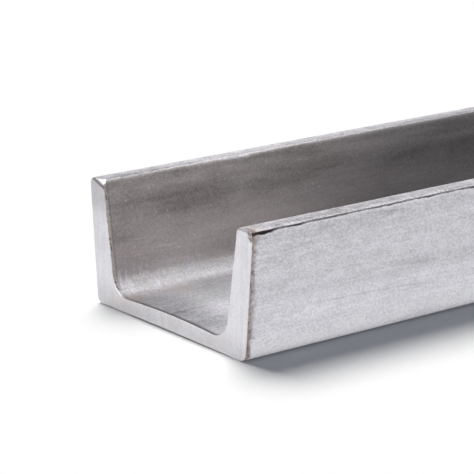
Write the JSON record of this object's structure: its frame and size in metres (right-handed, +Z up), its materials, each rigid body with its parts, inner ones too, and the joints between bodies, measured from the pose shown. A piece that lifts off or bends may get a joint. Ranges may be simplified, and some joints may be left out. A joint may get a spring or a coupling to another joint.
{
  "type": "metal channel section",
  "caption": "Straight length of hot-rolled stainless steel channel with tapered flanges, cut square at both ends, used as structural stock for frames and supports.",
  "frame": {"origin": "mid-length of the bar, on the centre line of the web's back, where it rests on the floor", "axes": "+X along the bar, +Y across the web, +Z up from the web's back towards the flange toes"},
  "size_m": [1, 0.0864, 0.043],
  "materials": {
    "stainless": "hot-rolled, annealed and pickled: matte silver-grey with fine pitting, faint rolling lines and pale saw-cut ends"
  },
  "bodies": {
    "root": {"channel_section": "stainless"}
  },
  "joints": []
}
